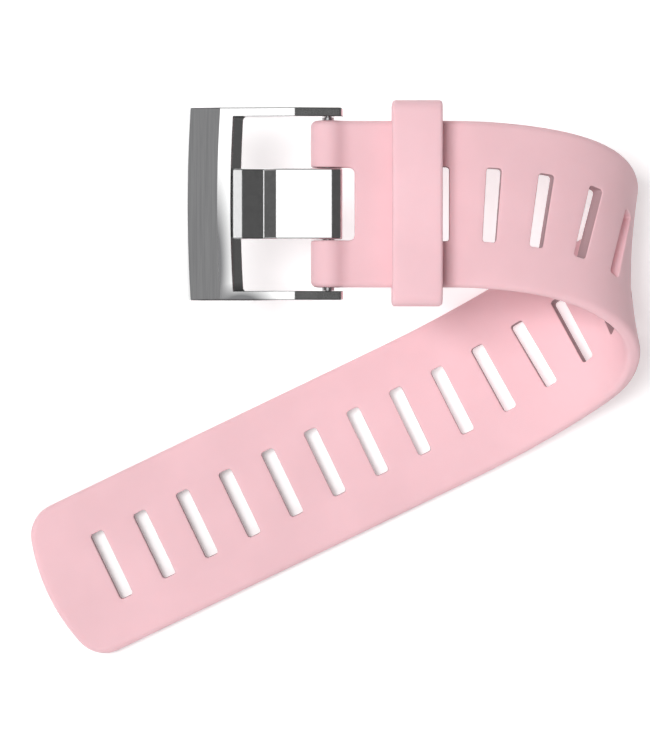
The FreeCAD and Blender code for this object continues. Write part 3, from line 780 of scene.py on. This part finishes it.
# Painted light: the floor's glow is brightest in a pool under the fold, which lifts the shade
# there.
POOL_CENTRE = (18, -2)                  # millimetres from the spring bar
POOL_REACH = (55, 45)
POOL_EDGE, POOL_MIDDLE = 0.19, 0.55     # emission
FLOOR_WHITE = (0.87, 0.87, 0.87, 1)

# The tent's brightness, by the direction's lean towards +X in degrees from straight up, and
# then by how far it leans across the strap, from -1 to 1. The two are multiplied.
TENT_BANDS = [(-90, 0.5), (-65, 0.08), (-38, 0.10), (-30, 0.8), (-24, 1.3), (2, 1.3),
              (6, 0.11), (20, 0.08), (60, 0.10), (90, 0.20)]
TENT_SIDES = [(-1.0, 0.3), (-0.6, 0.2), (-0.3, 1.0), (0.35, 1.0), (0.6, 0.15), (1.0, 0.12)]
# Added to it is a glow low down (direction's Z) and off to both sides (its Y, without sign).
GLOW_STARTS_Z, GLOW_FULL_Z = 0.55, 0.30
GLOW_STARTS_Y, GLOW_FULL_Y = 0.15, 0.40
GLOW = 0.38

LENS = 188.5
CAMERA_FROM_BAR = (-0.46, -24.61, 565.9)
CAMERA_CLIP = (0.01, 10)
LAMP_TARGET = (0, 0, 0.01)


def make_floor():
    """Pale floor that glows faintly, as a light table does, with painted light in a pool under the
    fold that lifts the shade there.
    """
    bm = bmesh.new()
    bmesh.ops.create_grid(bm, x_segments=1, y_segments=1, size=FLOOR_SIZE)
    mesh = bpy.data.meshes.new("floor")
    bm.to_mesh(mesh)
    bm.free()
    floor = new_object("floor", mesh)
    floor.location.z = -FLOOR_DROP
    material, tree, shader = new_material("floor_white")
    shader.inputs["Base Color"].default_value = FLOOR_WHITE
    shader.inputs["Roughness"].default_value = 0.9
    shader.inputs["Specular IOR Level"].default_value = 0.1
    shader.inputs["Emission Color"].default_value = (1, 1, 1, 1)
    coords = tree.nodes.new("ShaderNodeTexCoord")
    mapping = tree.nodes.new("ShaderNodeMapping")
    mapping.vector_type = "TEXTURE"
    mapping.inputs["Location"].default_value = (PIN.x + POOL_CENTRE[0] * MM,
                                                PIN.y + POOL_CENTRE[1] * MM, 0)
    mapping.inputs["Scale"].default_value = (POOL_REACH[0] * MM, POOL_REACH[1] * MM, 1)
    # Painted light: emission in a pool under the fold.
    pool = tree.nodes.new("ShaderNodeTexGradient")
    pool.gradient_type = "SPHERICAL"
    tree.links.new(coords.outputs["Object"], mapping.inputs["Vector"])
    tree.links.new(mapping.outputs["Vector"], pool.inputs["Vector"])
    tree.links.new(spread_value(tree, pool.outputs["Fac"], POOL_EDGE, POOL_MIDDLE),
                   shader.inputs["Emission Strength"])
    floor.data.materials.append(material)


def make_world():
    """Soft tent of light, with a dark gap beside the top for the metal to mirror."""
    world = bpy.data.worlds.new("studio")
    bpy.context.scene.world = world
    world.use_nodes = True
    tree = world.node_tree
    nodes, links = tree.nodes, tree.links
    coords = nodes.new("ShaderNodeTexCoord")
    split = nodes.new("ShaderNodeSeparateXYZ")
    links.new(coords.outputs["Generated"], split.inputs["Vector"])
    lean = nodes.new("ShaderNodeMath")
    lean.operation = "ARCTAN2"
    links.new(split.outputs["X"], lean.inputs[0])
    links.new(split.outputs["Z"], lean.inputs[1])
    scaled = nodes.new("ShaderNodeMapRange")
    scaled.inputs["From Min"].default_value = -math.pi / 2
    scaled.inputs["From Max"].default_value = math.pi / 2
    links.new(lean.outputs[0], scaled.inputs["Value"])
    lean_ramp = ramp(tree, scaled.outputs["Result"],
                     [((a + 90) / 180, (b, b, b)) for a, b in TENT_BANDS])
    across = nodes.new("ShaderNodeMapRange")
    across.inputs["From Min"].default_value = -1
    across.inputs["From Max"].default_value = 1
    links.new(split.outputs["Y"], across.inputs["Value"])
    side_ramp = ramp(tree, across.outputs["Result"],
                     [((y + 1) / 2, (b, b, b)) for y, b in TENT_SIDES])
    mixed = nodes.new("ShaderNodeMix")
    mixed.data_type = "RGBA"
    mixed.blend_type = "MULTIPLY"
    mixed.inputs["Factor"].default_value = 1.0
    links.new(lean_ramp, mixed.inputs["A"])
    links.new(side_ramp, mixed.inputs["B"])
    # A paler horizon towards both sides, which the metal mirrors in low views.
    low_sky = nodes.new("ShaderNodeMapRange")
    low_sky.inputs["From Min"].default_value = GLOW_STARTS_Z
    low_sky.inputs["From Max"].default_value = GLOW_FULL_Z
    links.new(split.outputs["Z"], low_sky.inputs["Value"])
    sideways = nodes.new("ShaderNodeMath")
    sideways.operation = "ABSOLUTE"
    links.new(split.outputs["Y"], sideways.inputs[0])
    to_sides = nodes.new("ShaderNodeMapRange")
    to_sides.inputs["From Min"].default_value = GLOW_STARTS_Y
    to_sides.inputs["From Max"].default_value = GLOW_FULL_Y
    to_sides.inputs["To Max"].default_value = GLOW
    links.new(sideways.outputs[0], to_sides.inputs["Value"])
    glow = nodes.new("ShaderNodeMath")
    glow.operation = "MULTIPLY"
    links.new(low_sky.outputs["Result"], glow.inputs[0])
    links.new(to_sides.outputs["Result"], glow.inputs[1])
    added = nodes.new("ShaderNodeMix")
    added.data_type = "RGBA"
    added.blend_type = "ADD"
    added.inputs["Factor"].default_value = 1.0
    links.new(mixed.outputs["Result"], added.inputs["A"])
    links.new(glow.outputs[0], added.inputs["B"])
    background = nodes["Background"]
    links.new(added.outputs["Result"], background.inputs["Color"])
    background.inputs["Strength"].default_value = 1.0


def add_area(name, place, size, power):
    """Lamp aimed at the band. The metal doesn't mirror it."""
    light = bpy.data.lights.new(name, "AREA")
    light.shape = "RECTANGLE"
    light.size, light.size_y = size
    light.energy = power
    lamp = bpy.data.objects.new(name, light)
    bpy.context.scene.collection.objects.link(lamp)
    lamp.visible_glossy = False
    lamp.location = place
    lamp.rotation_euler = (Vector(LAMP_TARGET) - Vector(place)).to_track_quat("-Z", "Y").to_euler()


def make_camera():
    """Straight above, far enough away for the long lens to flatten the view."""
    data = bpy.data.cameras.new("camera")
    data.sensor_width = 36
    data.lens = LENS
    data.clip_start, data.clip_end = CAMERA_CLIP
    camera = bpy.data.objects.new("camera", data)
    bpy.context.scene.collection.objects.link(camera)
    camera.location = PIN + Vector(CAMERA_FROM_BAR) * MM
    bpy.context.scene.camera = camera


make_floor()
make_world()
add_area("key_light", place=(-0.15, -0.55, 0.75), size=(0.6, 0.5), power=1.8)
add_area("top_light", place=(-0.34, 0.12, 1.18), size=(0.3, 0.5), power=9.0)
make_camera()
bpy.context.scene.view_settings.view_transform = "Standard"
